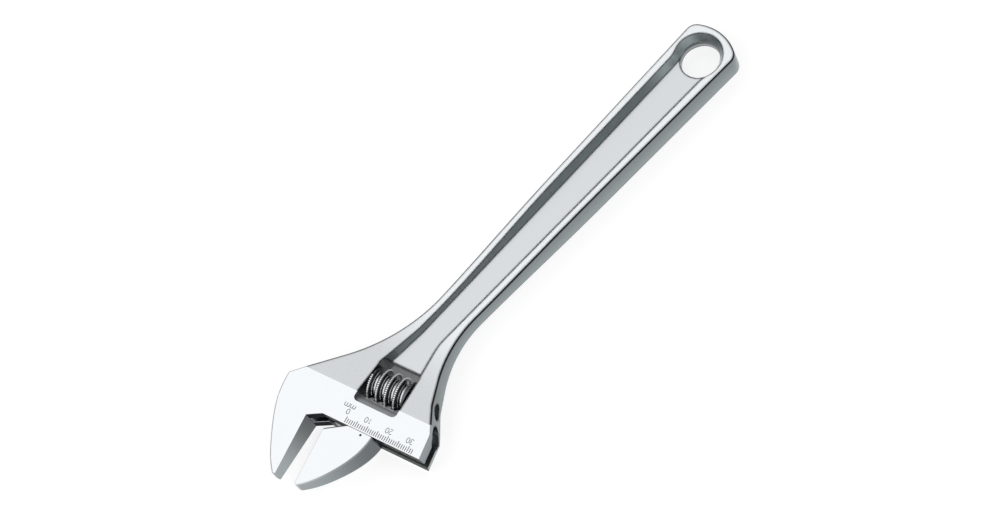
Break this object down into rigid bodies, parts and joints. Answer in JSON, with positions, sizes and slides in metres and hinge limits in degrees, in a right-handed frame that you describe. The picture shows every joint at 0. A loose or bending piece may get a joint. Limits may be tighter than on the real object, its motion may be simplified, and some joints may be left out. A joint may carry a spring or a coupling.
{
  "type": "adjustable wrench",
  "caption": "Forged steel wrench with an angled head, a sliding jaw driven by a knurled worm, a recessed handle and a hanging hole, for turning nuts and bolts.",
  "frame": {"origin": "centre of the hanging hole, in the middle plane of the handle", "axes": "+X along the handle from the jaws to the hanging hole, +Y to the side of the fixed jaw, +Z normal to the face with the scale"},
  "size_m": [0.253, 0.0704, 0.0156],
  "materials": {
    "body_steel": "chrome plate, polished on the head, satin on the handle",
    "jaw_steel": "polished chrome plate",
    "worm_steel": "turned and knurled steel",
    "pin_steel": "turned steel",
    "spring_steel": "drawn wire"
  },
  "bodies": {
    "wrench": {"wrench_body": "body_steel", "worm_pin": "pin_steel", "worm_spring": "spring_steel"},
    "jaw": {"sliding_jaw": "jaw_steel"},
    "worm": {"worm": "worm_steel"}
  },
  "joints": [
    {"name": "jaw_slide", "type": "slide", "parent": "wrench", "child": "jaw", "axis": [0.2588, -0.9659, 0], "range_m": [-0.0096, 0.02035]},
    {"name": "worm_turn", "type": "hinge", "parent": "wrench", "child": "worm", "pos_m": [-0.18338, -0.00363, 0], "axis": [0.2588, -0.9659, 0], "range_deg": [-1750, 830]}
  ],
  "couplings": [
    {"joint": "worm_turn", "follows": "jaw_slide", "rad_per_m": -1496}
  ]
}
